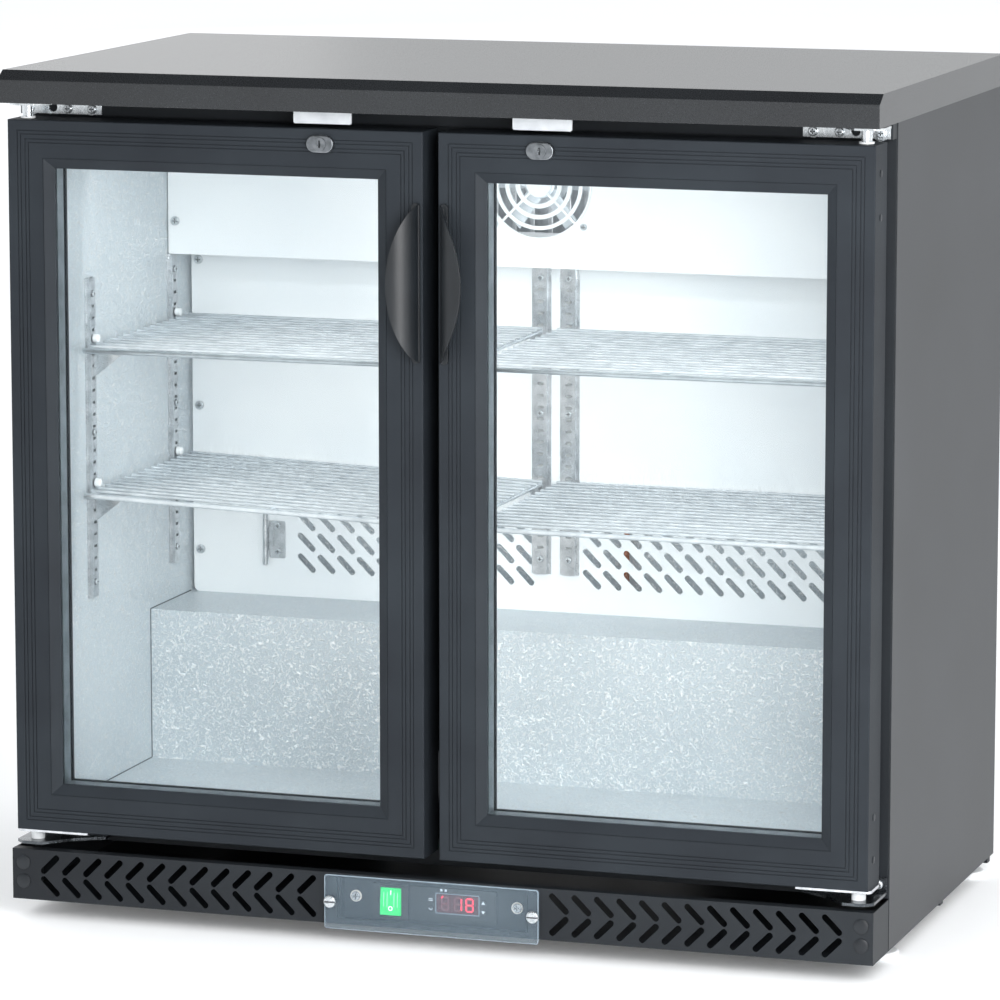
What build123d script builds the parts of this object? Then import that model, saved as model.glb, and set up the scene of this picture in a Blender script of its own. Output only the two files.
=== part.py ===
"""Two-door under counter display fridge, in millimetres.

The row frame has X to the right, +Y to the back and +Z up. Its origin is the middle of the
footprint at floor level. Depths d are measured back from the worktop's front edge, and
heights h are measured up from the underside of the cabinet, which stands on FOOT_H.
"""

import os
from math import atan, degrees

from build123d import *

# ---------------------------------------------------------------- driving dimensions
WIDTH = 900.0
DEPTH = 520.0
BODY_H = 842.0
FOOT_H = 20.0
HALF_W = WIDTH / 2
TOP_BAND = 32.0
LIP_H = BODY_H - TOP_BAND
SHEET = 1.0

HANDLE_PROUD = 14.0
LIP_Y = HANDLE_PROUD - (DEPTH + HANDLE_PROUD) / 2

FACE_D = 70.0
FACE_BACK = 84.0
REAR_D = DEPTH - 1.5

# inside of the cabinet
ROOM_X = 412.0
FLOOR_H = 91.0
CEILING_H = 770.0
STEP_D = 295.0
STEP_H = 251.0
ROOM_BACK = 479.0
FOAM = 30.0

# doors
DOOR_IN = 8.0
DOOR_OUT = 444.0
DOOR_LOW = 72.5
DOOR_TOP = 793.0
DOOR_D = 10.0
DOOR_THICK = 44.0
RAIL = 48.0
GLASS_EDGE = 37.0
PANE = 4.0
HINGE_X = 430.0
HINGE_D = 30.0
BUSH_R = 6.5
FIT = 0.05
GASKET_BACK = 69.2

LOCK_X = 112.5
LOCK_H = DOOR_TOP - 14.5
CAM_LENGTH = 24.5

# kick plate and controls
KICK_D = 10.0
KICK_H = 52.0
KICK_SHEET = 1.5
COVER_W = 224.0
COVER_LOW = -4.5
COVER_HIGH = 50.5
BRACKET_D = 24.0
SWITCH_X = -47.5
SWITCH_H = 23.5
PIVOT_D = BRACKET_D + 5
PIVOT_R = 1.5
ROCKER_HALF_W = 10.9
ROCKER_HALF_H = 13.6
CONTROL_X = 18.0
CONTROL_H = 24.5
BUTTON_R = 3.2
BUTTON_PLACES = {
    "set": (CONTROL_X - 23.2, CONTROL_H + 4.6),
    "defrost": (CONTROL_X - 23.2, CONTROL_H - 4.6),
    "up": (CONTROL_X + 31.8, CONTROL_H + 4.6),
    "down": (CONTROL_X + 31.8, CONTROL_H - 4.6),
}

# shelves
PITCH = 12.4
SHELF_LOW = 389.5
SHELF_HIGH = SHELF_LOW + 13 * PITCH
SHELF_IN = 8.0
SHELF_OUT = 403.0
SHELF_FRONT = 104.0
SHELF_BACK = 390.0
SHELF_WIRES = 16
PILASTER_H = 456.5

# air duct and fan
DUCT_D = 412.0
FAN_D = 354.0
FAN_COVER_H = 622.0
FAN_H = 709.0
FAN_R = 57.0

# machine compartment
BAY_FRONT = STEP_D + 1 + FOAM
BAY_H = STEP_H - 1 - FOAM
BAY_FAN_X = -140.0
BAY_FAN_H = 98.0
BAY_D = 425.0
GRILLE_D = 508.0
CAN_TOP = 167.0
RAIL_X = 447.5
RAIL_D = 92.0
PAN_D = 12.0

os.makedirs("parts", exist_ok=True)


# ---------------------------------------------------------------- helpers
def at(x, d, h):
    """Place in the row frame from x, depth and height."""
    return Pos(x, LIP_Y + d, FOOT_H + h)


def slab(x0, x1, d0, d1, h0, h1):
    """Box between two corners given as x, depth and height."""
    middle = at((x0 + x1) / 2, (d0 + d1) / 2, (h0 + h1) / 2)
    return middle * Box(abs(x1 - x0), abs(d1 - d0), abs(h1 - h0))


def rod_x(x0, x1, d, h, r):
    return at((x0 + x1) / 2, d, h) * Rot(Y=90) * Cylinder(r, abs(x1 - x0))


def rod_y(x, d0, d1, h, r):
    return at(x, (d0 + d1) / 2, h) * Rot(X=90) * Cylinder(r, abs(d1 - d0))


def rod_z(x, d, h0, h1, r):
    return at(x, d, (h0 + h1) / 2) * Cylinder(r, abs(h1 - h0))


def upright(sketch, x, h, d0, d1):
    """Sketch with its own x and y as width and height, given thickness from d0 back to d1."""
    return at(x, d1, h) * Rot(X=90) * extrude(sketch, d1 - d0)


def flat(points, h0, h1):
    """Plate from plan points of x and depth."""
    return at(0, 0, h0) * extrude(make_face(Polyline(*points, close=True)), h1 - h0)


def mirrored(shape, side):
    """The shape as built for the right side, or its mirror image for the left."""
    return shape if side > 0 else mirror(shape, Plane.YZ)


def both_sides(shape):
    return [shape, mirrored(shape, -1)]


def save(name, *shapes):
    """Write one node: its separate solids in one file."""
    solids = [solid for shape in shapes for solid in shape.solids()]
    if len(solids) == 1:
        export_step(solids[0], f"parts/{name}.step")
    else:
        export_step(Compound(children=solids), f"parts/{name}.step")


def pan_screw(head_r, head_h, slotted=False):
    """Screw head standing on its seat along +Z, with a cross or a single slot cut in it."""
    head = Cylinder(head_r, head_h, align=(Align.CENTER, Align.CENTER, Align.MIN))
    head = fillet(head.edges().sort_by(Axis.Z)[-1], head_h * 0.55)
    depth = head_h * 0.45
    length = head_r * (2.2 if slotted else 1.1)
    slot = Pos(0, 0, head_h - depth / 2) * Box(length, head_r * 0.24, depth)
    head -= slot
    if not slotted:
        head -= Rot(Z=90) * slot
    return head


def facing_front(head, x, d, h):
    return at(x, d, h) * Rot(X=90) * head


def facing_side(head, x, d, h, side):
    return at(x, d, h) * Rot(Y=90 * side) * head


# ---------------------------------------------------------------- cabinet shell
def worktop_profile(inset):
    """Side outline of the worktop with its bevelled front edge, drawn as depth and height."""
    back = DEPTH - inset
    top = BODY_H - inset
    low = LIP_H + inset
    return [(inset, low), (inset, BODY_H - 9), (14, top), (back, top), (back, low)]


def band(points, half):
    """Extrude a depth-and-height outline across the width, from -half to half."""
    outline = make_face(Polyline(*points, close=True))
    return at(-half, 0, 0) * Plane.YZ.location * extrude(outline, 2 * half)


def worktop():
    inset = 1.2
    core = band(worktop_profile(inset), HALF_W - inset)
    core += slab(-HALF_W + inset, HALF_W - inset, FACE_D, DEPTH - inset, LIP_H, LIP_H + 5)
    shell = band(worktop_profile(0), HALF_W) - core
    return shell, core


def tube_hole():
    """Hole through the step for the suction line."""
    return rod_z(60, 468, BAY_H - 1, STEP_H + 1, 12)


def foam_blocks(worktop_core):
    side = slab(413, 449, FACE_BACK, BAY_FRONT, 53, LIP_H)
    side_rear = slab(413, 449, BAY_FRONT, REAR_D, BAY_H, LIP_H)
    blocks = [
        worktop_core,
        slab(-413, 413, FACE_BACK, STEP_D + 1, 53, FLOOR_H - 1),
        slab(-ROOM_X, ROOM_X, STEP_D + 1, BAY_FRONT, 53, BAY_H),
        slab(-ROOM_X, ROOM_X, STEP_D + 1, REAR_D, BAY_H, STEP_H - 1) - tube_hole(),
        slab(-413, 413, ROOM_BACK + 1, REAR_D, STEP_H - 1, CEILING_H + 1),
        slab(-413, 413, FACE_BACK, REAR_D, CEILING_H + 1, LIP_H),
    ]
    return blocks + both_sides(side) + both_sides(side_rear)


def inner_liner():
    return [
        *both_sides(slab(ROOM_X, 413, FACE_BACK, ROOM_BACK + 1, FLOOR_H - 1, CEILING_H + 1)),
        slab(-ROOM_X, ROOM_X, FACE_BACK, STEP_D, FLOOR_H - 1, FLOOR_H),
        slab(-ROOM_X, ROOM_X, STEP_D, STEP_D + 1, FLOOR_H - 1, STEP_H - 1),
        slab(-ROOM_X, ROOM_X, STEP_D, ROOM_BACK, STEP_H - 1, STEP_H) - tube_hole(),
        slab(-ROOM_X, ROOM_X, ROOM_BACK, ROOM_BACK + 1, STEP_H - 1, CEILING_H + 1),
        slab(-ROOM_X, ROOM_X, FACE_BACK, ROOM_BACK, CEILING_H, CEILING_H + 1),
    ]


def face_frame():
    """Black frame that the gaskets close on, with the header rail under the worktop."""
    return [
        slab(-449, 449, FACE_D, FACE_BACK, CEILING_H, LIP_H),
        slab(-449, 449, FACE_D, FACE_BACK, 53, FLOOR_H),
        *both_sides(slab(ROOM_X, 449, FACE_D, FACE_BACK, FLOOR_H, CEILING_H)),
        slab(-25, 25, FACE_D, 95, FLOOR_H, CEILING_H),
        slab(-449, 449, 56, FACE_D, 795, LIP_H),
    ]


def side_panels():
    return both_sides(slab(449, HALF_W, FACE_D + 2, DEPTH, 0, LIP_H))


def base_frame():
    """Side rails that carry the feet, the sheet under the foam, and the pan below both."""
    web = slab(RAIL_X, 449, FACE_BACK, GRILLE_D, 2, 53)
    flange = slab(404, 449, RAIL_D, GRILLE_D, 0, 2)
    lug = slab(440, 449, 288, 300, -4, 0)
    heel = slab(432, 449, 497, GRILLE_D, -6, 0)
    rail = web + flange + lug + heel
    pan = slab(-404, 404, RAIL_D, GRILLE_D, 0, 2) + slab(-RAIL_X, RAIL_X, PAN_D, RAIL_D, 0, 2)
    return [*both_sides(rail), pan, slab(-RAIL_X, RAIL_X, FACE_BACK, BAY_FRONT, 52, 53)]


def feet():
    pad = fillet(Cylinder(20, 8).edges(), 2.5)
    pad = Pos(0, 0, 4) * pad
    stem = Pos(0, 0, 14) * Cylinder(7, 12)
    foot = pad + stem
    return [Pos(x, LIP_Y + d, 0) * foot for x in (-427, 427) for d in (124, 490)]


def rear_panel():
    return slab(-449, 449, REAR_D, REAR_D + SHEET, BAY_H, LIP_H)


def rear_grille():
    """Louvred cover of the machine compartment, with the cord gland's hole."""
    plate = Rectangle(894, BAY_H - 4)
    slots = SlotOverall(70, 5)
    plate -= GridLocations(84, 13, 9, 11) * slots
    plate -= Pos(380, -84) * Circle(8)
    return upright(plate, 0, (BAY_H + 4) / 2, GRILLE_D, GRILLE_D + SHEET)


# ---------------------------------------------------------------- kick plate and controls
def chevrons():
    """Two facing rows of slanted slots on each side of the control window."""
    slot = SlotCenterToCenter(19.6, 6.5)
    holes = Sketch()
    for side, first in ((-1, -409.0), (1, 132.0)):
        for column in range(13):
            x = first + column * 23.07
            holes += Pos(x, 37.4 - KICK_H / 2) * Rot(Z=-side * 45) * slot
            holes += Pos(x, 14.9 - KICK_H / 2) * Rot(Z=side * 45) * slot
    return holes


def kick_plate():
    front = Rectangle(WIDTH, KICK_H) - chevrons() - Pos(0, 0.5) * Rectangle(200, 41)
    face = upright(front, 0, KICK_H / 2, KICK_D, KICK_D + KICK_SHEET)
    side = slab(HALF_W - KICK_SHEET, HALF_W, KICK_D + KICK_SHEET, 69, 0, KICK_H)
    top = slab(-448.5, 448.5, KICK_D + KICK_SHEET, 22, KICK_H - KICK_SHEET, KICK_H)
    return [face, *both_sides(side), top]


def control_bracket():
    """Folded tray behind the window: a face plate with two short side tabs."""
    front = Rectangle(197, 44) - Pos(SWITCH_X, -1) * Rectangle(34, 34)
    front -= Pos(CONTROL_X, 0) * Rectangle(71, 29)
    face = upright(front, 0, CONTROL_H, BRACKET_D, BRACKET_D + KICK_SHEET)
    low = CONTROL_H - 22
    tab = slab(97, 98.5, KICK_D + KICK_SHEET, BRACKET_D, low, KICK_H - KICK_SHEET)
    lip = slab(-97, 97, KICK_D + KICK_SHEET, BRACKET_D, low, low + KICK_SHEET)
    return face + tab + mirrored(tab, -1) + lip


def switch_housing():
    """Snap-in body with a flange in front and a well for the rocker and its pivot."""
    body = slab(SWITCH_X - 18.5, SWITCH_X + 18.5, BRACKET_D - 2, BRACKET_D, SWITCH_H - 18, SWITCH_H + 18)
    middle = at(SWITCH_X, BRACKET_D, SWITCH_H)
    body += middle * Pos(0, 12, 0) * Box(33, 24, 33)
    body -= middle * Pos(0, 7.5, 0) * Box(2 * ROCKER_HALF_W + 0.6, 21, 2 * ROCKER_HALF_H + 3.2)
    return body - rod_x(SWITCH_X - 14, SWITCH_X + 14, PIVOT_D, SWITCH_H, PIVOT_R + FIT)


def rocker():
    """Rocker with two slightly tilted faces and stub pivots along X."""
    half = ROCKER_HALF_H
    front = BRACKET_D - 3.2
    outline = [(front + 2.6, SWITCH_H + half), (front + 0.8, SWITCH_H), (front, SWITCH_H - half)]
    outline += [(front + 6, SWITCH_H - half * 0.95), (front + 12, SWITCH_H - 4)]
    outline += [(front + 12, SWITCH_H + 4), (front + 7, SWITCH_H + half * 0.95)]
    cap = make_face(Polyline(*outline, close=True))
    body = at(SWITCH_X - ROCKER_HALF_W, 0, 0) * Plane.YZ.location * extrude(cap, 2 * ROCKER_HALF_W)
    return body + rod_x(SWITCH_X - 13.5, SWITCH_X + 13.5, PIVOT_D, SWITCH_H, PIVOT_R)


def controller_body():
    low, high = CONTROL_H - 17, CONTROL_H + 17
    bezel = slab(CONTROL_X - 45.5, CONTROL_X + 45.5, BRACKET_D - 2, BRACKET_D, low, high)
    case = slab(CONTROL_X - 35.4, CONTROL_X + 35.4, BRACKET_D, BRACKET_D + 34, low + 2.7, high - 2.7)
    body = bezel + case
    for x, h in BUTTON_PLACES.values():
        body -= rod_y(x, BRACKET_D - 3, BRACKET_D + 2, h, BUTTON_R + 0.2)
    return body


def controller_button(x, h):
    button = rod_y(x, BRACKET_D - 2.4, BRACKET_D + 0.6, h, BUTTON_R)
    return fillet(button.edges().sort_by(Axis.Y)[0], 0.4)


def clear_cover():
    plate = RectangleRounded(COVER_W, COVER_HIGH - COVER_LOW, 3)
    return upright(plate, 0, (COVER_HIGH + COVER_LOW) / 2, 6.5, 9.5)


# ---------------------------------------------------------------- hinges and strikes
def top_bracket():
    """Right upper bracket: screwed flange, tongue under the worktop lip and pivot barrel."""
    flange = Rectangle(86, 13) + Pos(-32.5, -0.2) * Circle(7) + Pos(33.5, -1) * Circle(8)
    flange -= Pos(9, 0) * Circle(4.6)
    plate = upright(flange, 404, 802.2, 53.5, 56)
    plate = plate & slab(350, 449, 50, 60, 790, 808.5)
    tongue = flat([(408, 53.5), (448, 53.5), (448, 26), (440, 20), (420, 20), (408, 34)], 806, 808.5)
    pin = rod_z(HINGE_X, HINGE_D, 795, 806, 5.3) + rod_z(HINGE_X, HINGE_D, 779, 795, 4)
    return [plate + tongue, pin]


def bottom_bracket():
    """Right lower bracket: chamfered plate from the bottom rail, with its pin and nut."""
    outline = [(366, 67.5), (448, 67.5), (448, 20), (440, 12), (418, 12), (396, 36), (366, 54)]
    plate = flat(outline, 57, 60) - rod_z(HINGE_X, HINGE_D, 56, 61, 4)
    flange = Rectangle(82, 14) - Pos(33, 0) * Circle(2.5)
    back = upright(flange, 407, 67, 67.5, FACE_D)
    bracket = plate + back + slab(366, 448, 67.5, FACE_D, 57, 60.5)
    nut = at(HINGE_X, HINGE_D, 53) * extrude(RegularPolygon(6.8, 6), 4)
    pin = rod_z(HINGE_X, HINGE_D, 57, 84, 4)
    return [bracket, nut + pin]


def hinge_bushes():
    """White plastic bushes that sit on the pins and turn in the door's ends."""
    top = rod_z(HINGE_X, HINGE_D, 779, 793.3, BUSH_R) + rod_z(HINGE_X, HINGE_D, 793.3, 795, 7.4)
    low = rod_z(HINGE_X, HINGE_D, 60, 84, BUSH_R) + rod_z(HINGE_X, HINGE_D, 60, 69.3, 7.0)
    return [bush - rod_z(HINGE_X, HINGE_D, 50, 800, 4) for bush in (top, low)]


def lock_strike():
    """Right strike: a plate that the lock's cam rises behind, and its strap to the header."""
    tab = Rectangle(60, 12.5)
    for side in (-1, 1):
        tab -= Pos(side * 30, -6.25) * Rectangle(4, 4)
        tab += Pos(side * 28, -4.25) * Circle(2)
    plate = upright(tab, LOCK_X, 803.75, 14, 16)
    return [plate, slab(LOCK_X - 22, LOCK_X + 22, 16, 56, 808, LIP_H)]


# ---------------------------------------------------------------- doors, built for the right side
def rail_section():
    """Frame extrusion: u runs in from the outer edge, v runs back from the front."""
    outline = [(0.8, 0), (38, 0), (RAIL, 6), (RAIL, 8), (36, 8), (36, 32), (RAIL, 32)]
    outline += [(RAIL, 36), (38, 36), (36, DOOR_THICK), (0, DOOR_THICK), (0, 0.8)]
    section = make_face(Polyline(*outline, close=True))
    for u in (10.5, 14.0, 18.7, 22.3):
        section -= Pos(u, 0) * Rectangle(0.9, 1.6)
    section -= Pos(37.6, 0) * Rectangle(0.5, 1.2)
    section -= Pos(18, 22) * Rectangle(32, 40)
    return section


def mitred(section, length, x, d, h, turn):
    """Run the section along one side of a frame and cut both ends at 45 degrees."""
    bar = Rot(Y=-90) * extrude(section, length / 2, both=True)
    half = length / 2
    reach = 60
    corners = [(-half, 0), (half, 0), (half - reach, reach), (-half + reach, reach)]
    cutter = Pos(0, 90, 0) * Rot(X=90) * extrude(make_face(Polyline(*corners, close=True)), 180)
    return at(x, d, h) * Rot(Y=turn) * (bar & cutter)


def frame_of(section, x0, x1, d, h0, h1):
    """Four mitred bars round a rectangle, outer edges on its sides."""
    wide = x1 - x0
    tall = h1 - h0
    mid_x = (x0 + x1) / 2
    mid_h = (h0 + h1) / 2
    return [
        mitred(section, wide, mid_x, d, h0, 0),
        mitred(section, wide, mid_x, d, h1, 180),
        mitred(section, tall, x0, d, mid_h, 90),
        mitred(section, tall, x1, d, mid_h, -90),
    ]


def door_frame():
    bars = frame_of(rail_section(), DOOR_IN, DOOR_OUT, DOOR_D, DOOR_LOW, DOOR_TOP)
    lock_hole = rod_y(LOCK_X, DOOR_D - 1, DOOR_D + 6, LOCK_H, 9)
    cam_slot = slab(LOCK_X - 6, LOCK_X + 24, 16.5, 20.5, DOOR_TOP - 3, DOOR_TOP + 1)
    cuts = lock_hole + cam_slot
    for h0, h1 in ((DOOR_LOW - 7, DOOR_LOW + 18), (DOOR_TOP - 19, DOOR_TOP + 7)):
        cuts += rod_z(HINGE_X, HINGE_D, h0, h1, BUSH_R + FIT)
    return [bar - cuts for bar in bars]


def inner_edge(offset):
    """The door's opening, grown outwards by offset: x0, x1, h0, h1."""
    inset = RAIL - offset
    return DOOR_IN + inset, DOOR_OUT - inset, DOOR_LOW + inset, DOOR_TOP - inset


def door_glass():
    """Two panes, the outer one flush behind the frame's front lip."""
    x0, x1, h0, h1 = inner_edge(RAIL - GLASS_EDGE)
    return [slab(x0, x1, DOOR_D + d, DOOR_D + d + PANE, h0, h1) for d in (8, 28)]


def door_spacer():
    outer = inner_edge(10)
    inner = inner_edge(0.5)
    ring = slab(outer[0], outer[1], DOOR_D + 12, DOOR_D + 28, outer[2], outer[3])
    return ring - slab(inner[0], inner[1], DOOR_D + 11, DOOR_D + 29, inner[2], inner[3])


def door_gasket():
    """Magnetic seal: a flat foot, a bellows and a square magnet bulb."""
    depth = GASKET_BACK - DOOR_D - DOOR_THICK
    outline = [(8, 0), (24, 0), (22, 3), (19, 5), (21, depth - 5), (21, depth), (10, depth)]
    outline += [(10, depth - 5), (12.5, 5), (10, 3)]
    section = make_face(Polyline(*outline, close=True))
    return frame_of(section, DOOR_IN, DOOR_OUT, DOOR_D + DOOR_THICK, DOOR_LOW, DOOR_TOP)


def door_handle():
    """Leaf-shaped grip: a quarter-round blade that springs from a strip by the door's edge."""
    tall = 157.0
    middle = 645.5
    outer_r = 25.0
    wall = 3.0
    centre_x = 36.0
    centre_d = 11.0
    ring = Circle(outer_r) - Circle(outer_r - wall)
    quarter = ring & Pos(-outer_r / 2, -outer_r / 2) * Rectangle(outer_r, outer_r)
    quarter += Pos(1.25, -outer_r + wall / 2) * Rectangle(2.5, wall)
    blade = at(centre_x, centre_d, middle) * extrude(quarter, tall / 2, both=True)
    chord = 10.5
    bulge = 38.5
    leaf = ThreePointArc((chord, tall / 2), (bulge, 0), (chord, -tall / 2))
    leaf_face = make_face([leaf, Line((chord, -tall / 2), (chord, tall / 2))])
    blade = blade & upright(leaf_face, 0, middle, -20, DOOR_D)
    strip = upright(SlotOverall(tall, 8, rotation=90), 14.5, middle, DOOR_D - 3, DOOR_D)
    return blade + strip


def door_hinge_plate():
    plate = RectangleRounded(77, 36, 4)
    bar = at(407.5, 32, DOOR_LOW - 3) * extrude(plate, 3)
    bar -= rod_z(HINGE_X, HINGE_D, 60, 80, BUSH_R + FIT)
    return bar


def lock_plate():
    plate = upright(SlotOverall(28, 17), LOCK_X, LOCK_H, 5, DOOR_D)
    plate = fillet(plate.faces().sort_by(Axis.Y)[0].edges(), 1.2)
    sleeve = rod_y(LOCK_X, DOOR_D, 16, LOCK_H, 9)
    return plate + sleeve - rod_y(LOCK_X, 0, 20, LOCK_H, 6.6 + FIT)


def lock_barrel():
    """Key barrel with its keyway, and the cam that lies flat when unlocked."""
    barrel = rod_y(LOCK_X, 4.2, 17, LOCK_H, 6.6)
    barrel -= slab(LOCK_X - 0.8, LOCK_X + 0.8, 4, 9, LOCK_H - 3.6, LOCK_H + 3.6)
    barrel -= rod_y(LOCK_X, 4, 7, LOCK_H, 1.7)
    cam = SlotOverall(CAM_LENGTH + 4.5, 9)
    return barrel + upright(Pos((CAM_LENGTH - 4.5) / 2, 0) * cam, LOCK_X, LOCK_H, 17, 19.5)


def door(side):
    name = "left" if side < 0 else "right"
    save(f"door_frame_{name}", *[mirrored(bar, side) for bar in door_frame()])
    save(f"door_glass_{name}", *[mirrored(pane, side) for pane in door_glass()])
    save(f"door_spacer_{name}", mirrored(door_spacer(), side))
    save(f"door_gasket_{name}", *[mirrored(bar, side) for bar in door_gasket()])
    save(f"door_handle_{name}", mirrored(door_handle(), side))
    save(f"door_hinge_plate_{name}", mirrored(door_hinge_plate(), side))
    save(f"lock_plate_{name}", mirrored(lock_plate(), side))
    save(f"lock_barrel_{name}", mirrored(lock_barrel(), side))


# ---------------------------------------------------------------- inside fittings
def pilaster():
    """Slotted shelf channel, standing along +Z, open towards -Y, its face on +Y at 5 mm."""
    tall = 330.0
    face = Rectangle(12, tall)
    holes = int((tall - 16) / PITCH)
    face -= GridLocations(0, PITCH, 1, holes) * SlotOverall(7, 3)
    plate = Rot(X=-90) * extrude(face, 1)
    channel = Pos(0, 4, 0) * plate
    for side in (-1, 1):
        channel += Pos(side * 6.5, 2.5, 0) * Box(1, 5, tall)
        channel += Pos(side * 8.5, 0.5, 0) * Box(4, 1, tall)
    return channel


def pilasters():
    strip = pilaster()
    facing_right = Rot(Z=-90) * strip
    left = [at(-ROOM_X, d, PILASTER_H) * facing_right for d in (135.5, 361)]
    right = [mirrored(strip_left, -1) for strip_left in left]
    rear = [at(x, DUCT_D, PILASTER_H) * Rot(Z=180) * strip for x in (-15.5, 15.5)]
    front = [at(x, 95, PILASTER_H) * strip for x in (-15.5, 15.5)]
    return left + right + rear + front


def shelf_clip():
    """Bent bracket that hooks in a pilaster, reaching out along +Y with its top at z 0."""
    outline = [(0, 0), (34, 0), (34, -2), (4, -26), (0, -26)]
    web = Plane.YZ.location * extrude(make_face(Polyline(*outline, close=True)), 0.8, both=True)
    return web + Pos(0, 17, -0.6) * Box(7, 34, 1.2)


def clip_places():
    """Every clip as its location and the turn that points it into the room."""
    for level in (SHELF_LOW, SHELF_HIGH):
        for side in (-1, 1):
            raised = PITCH if level == SHELF_LOW and side < 0 else 0
            top = level - 2.7
            for d in (135.5, 361):
                yield side * (ROOM_X - 5), d, top + raised, 90 * side
            yield side * 15.5, DUCT_D - 5, top, 180
            yield side * 15.5, 100, top, 0


def shelf_clips():
    clip = shelf_clip()
    return [at(x, d, h) * Rot(Z=turn) * clip for x, d, h, turn in clip_places()]


def shelf():
    """Right shelf about its inner end: thin wires on three cross rods, heavy front rod below."""
    span = SHELF_OUT - SHELF_IN
    wire_r = 1.5
    rod_r = 2.0
    step = (SHELF_BACK - SHELF_FRONT - 13) / (SHELF_WIRES - 1)
    grid = Pos(span / 2, SHELF_FRONT, 0) * Rot(Y=90) * Cylinder(2.6, span + 4)
    for number in range(SHELF_WIRES):
        d = SHELF_FRONT + 13 + number * step
        grid += Pos(span / 2, d, 3.2) * Rot(Y=90) * Cylinder(wire_r, span)
    length = SHELF_BACK - SHELF_FRONT + 2
    for x in (2.0, span / 2, span - 2.0):
        grid += Pos(x, SHELF_FRONT + length / 2, 0) * Rot(X=90) * Cylinder(rod_r, length)
    return grid


def shelves():
    grid = shelf()
    left_grid = mirror(grid, Plane.YZ)
    tilt = Rot(Y=degrees(atan(PITCH / (SHELF_OUT - SHELF_IN))))
    save("shelf_upper_right", at(SHELF_IN, 0, SHELF_HIGH) * grid)
    save("shelf_upper_left", at(-SHELF_IN, 0, SHELF_HIGH) * left_grid)
    save("shelf_lower_right", at(SHELF_IN, 0, SHELF_LOW) * grid)
    save("shelf_lower_left", at(-SHELF_IN - 0.4, 0, SHELF_LOW) * tilt * left_grid)


def duct_panel():
    """White rear panel with three rows of slanted air slots on each side of the middle."""
    low = STEP_H
    high = FAN_COVER_H + 30
    mid = (low + high) / 2
    slot = SlotCenterToCenter(19.5, 6.5)
    plate = RectangleRounded(816, high - low, 6)
    for first in (-279.0, 40.0):
        for column in range(12):
            for row in range(3):
                x = first + column * 22.3
                h = 333.0 - row * 22.6
                plate -= Pos(x, h - mid) * Rot(Z=-45) * slot
    return upright(plate, 0, mid, DUCT_D, DUCT_D + SHEET)


def fan_cover():
    """Box front round the evaporator fan, with its underside."""
    mid = (CEILING_H + FAN_COVER_H) / 2
    front = Rectangle(822, CEILING_H - FAN_COVER_H) - Pos(0, FAN_H - mid) * Circle(FAN_R)
    face = upright(front, 0, mid, FAN_D, FAN_D + SHEET)
    return face + slab(-411, 411, FAN_D + SHEET, DUCT_D, FAN_COVER_H, FAN_COVER_H + SHEET)


def fan_guard():
    """Stamped rings on four spokes, in the opening of the fan cover."""
    guard = Circle(13.5)
    for radius, width in ((22.6, 4.8), (34.0, 4.6), (45.4, 4.0), (FAN_R - 1, 2.0)):
        guard += Circle(radius + width / 2) - Circle(radius - width / 2)
    for turn in (45, 135):
        guard += Rot(Z=turn) * Rectangle(2 * FAN_R - 2, 2.6)
    return upright(guard, 0, FAN_H, FAN_D - 2.5, FAN_D)


def fan_blade(hub_r, hub_long, tip_r, count, pitch):
    """Axial fan about Y, its hub centred on the origin."""
    fan = Rot(X=90) * Cylinder(hub_r, hub_long)
    reach = tip_r - hub_r + 2
    for number in range(count):
        turn = number * 360.0 / count
        blade = Pos(0, 0, hub_r - 2 + reach / 2) * Rot(Z=pitch) * Box(hub_r * 1.5, 1.6, reach)
        fan += Rot(Y=turn) * blade
    return fan


def evaporator_fan_motor():
    """Motor behind the blade on a three-legged bracket fixed to the duct panel."""
    motor = rod_y(0, 378, 406, FAN_H, 24) + rod_y(0, 357, 378, FAN_H, 3)
    strap = slab(-64, 64, 398, 401, FAN_H - 10, FAN_H + 10)
    legs = [slab(x - 2, x + 2, FAN_D + SHEET, 401, FAN_H - 10, FAN_H + 10) for x in (-64, 64)]
    return motor + strap + legs[0] + legs[1]


def finned_block(x0, x1, d0, d1, h0, h1, count):
    """Plate fins on one carrier sheet, as a single comb."""
    comb = slab(x0, x1, d1 - 2, d1, h0, h1)
    step = (x1 - x0 - 1) / (count - 1)
    for number in range(count):
        x = x0 + number * step
        comb += slab(x, x + 1, d0, d1, h0, h1)
    return comb


def temperature_probe():
    clip = upright(RectangleRounded(18, 40, 1.5), -312, 312, DUCT_D - 1.5, DUCT_D)
    rod = rod_z(-324, DUCT_D - 5, 285, 342, 2.6)
    arm = slab(-326, -316, DUCT_D - 3, DUCT_D - 1.5, 300, 326)
    return clip + arm + rod


def interior_lamp():
    return slab(-340, 340, 97, 111, 756, 768)


# ---------------------------------------------------------------- machine compartment
def compressor():
    """Hermetic can of two pressed halves on a foot plate, with its terminal cover."""
    x = 225.0
    can = at(x, BAY_D, CAN_TOP - 75) * Cylinder(72, 150)
    can = fillet(can.edges(), 34)
    seam = at(x, BAY_D, 96) * Cylinder(76, 5)
    plate = slab(x - 80, x + 80, BAY_D - 62, BAY_D + 62, 12, 18)
    mounts = [rod_z(x + i * 66, BAY_D + j * 50, 2, 12, 9) for i in (-1, 1) for j in (-1, 1)]
    cover = slab(x + 66, x + 96, BAY_D - 26, BAY_D + 26, 40, 100)
    body = can + seam + plate + cover
    for mount in mounts:
        body += mount
    return body


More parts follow.
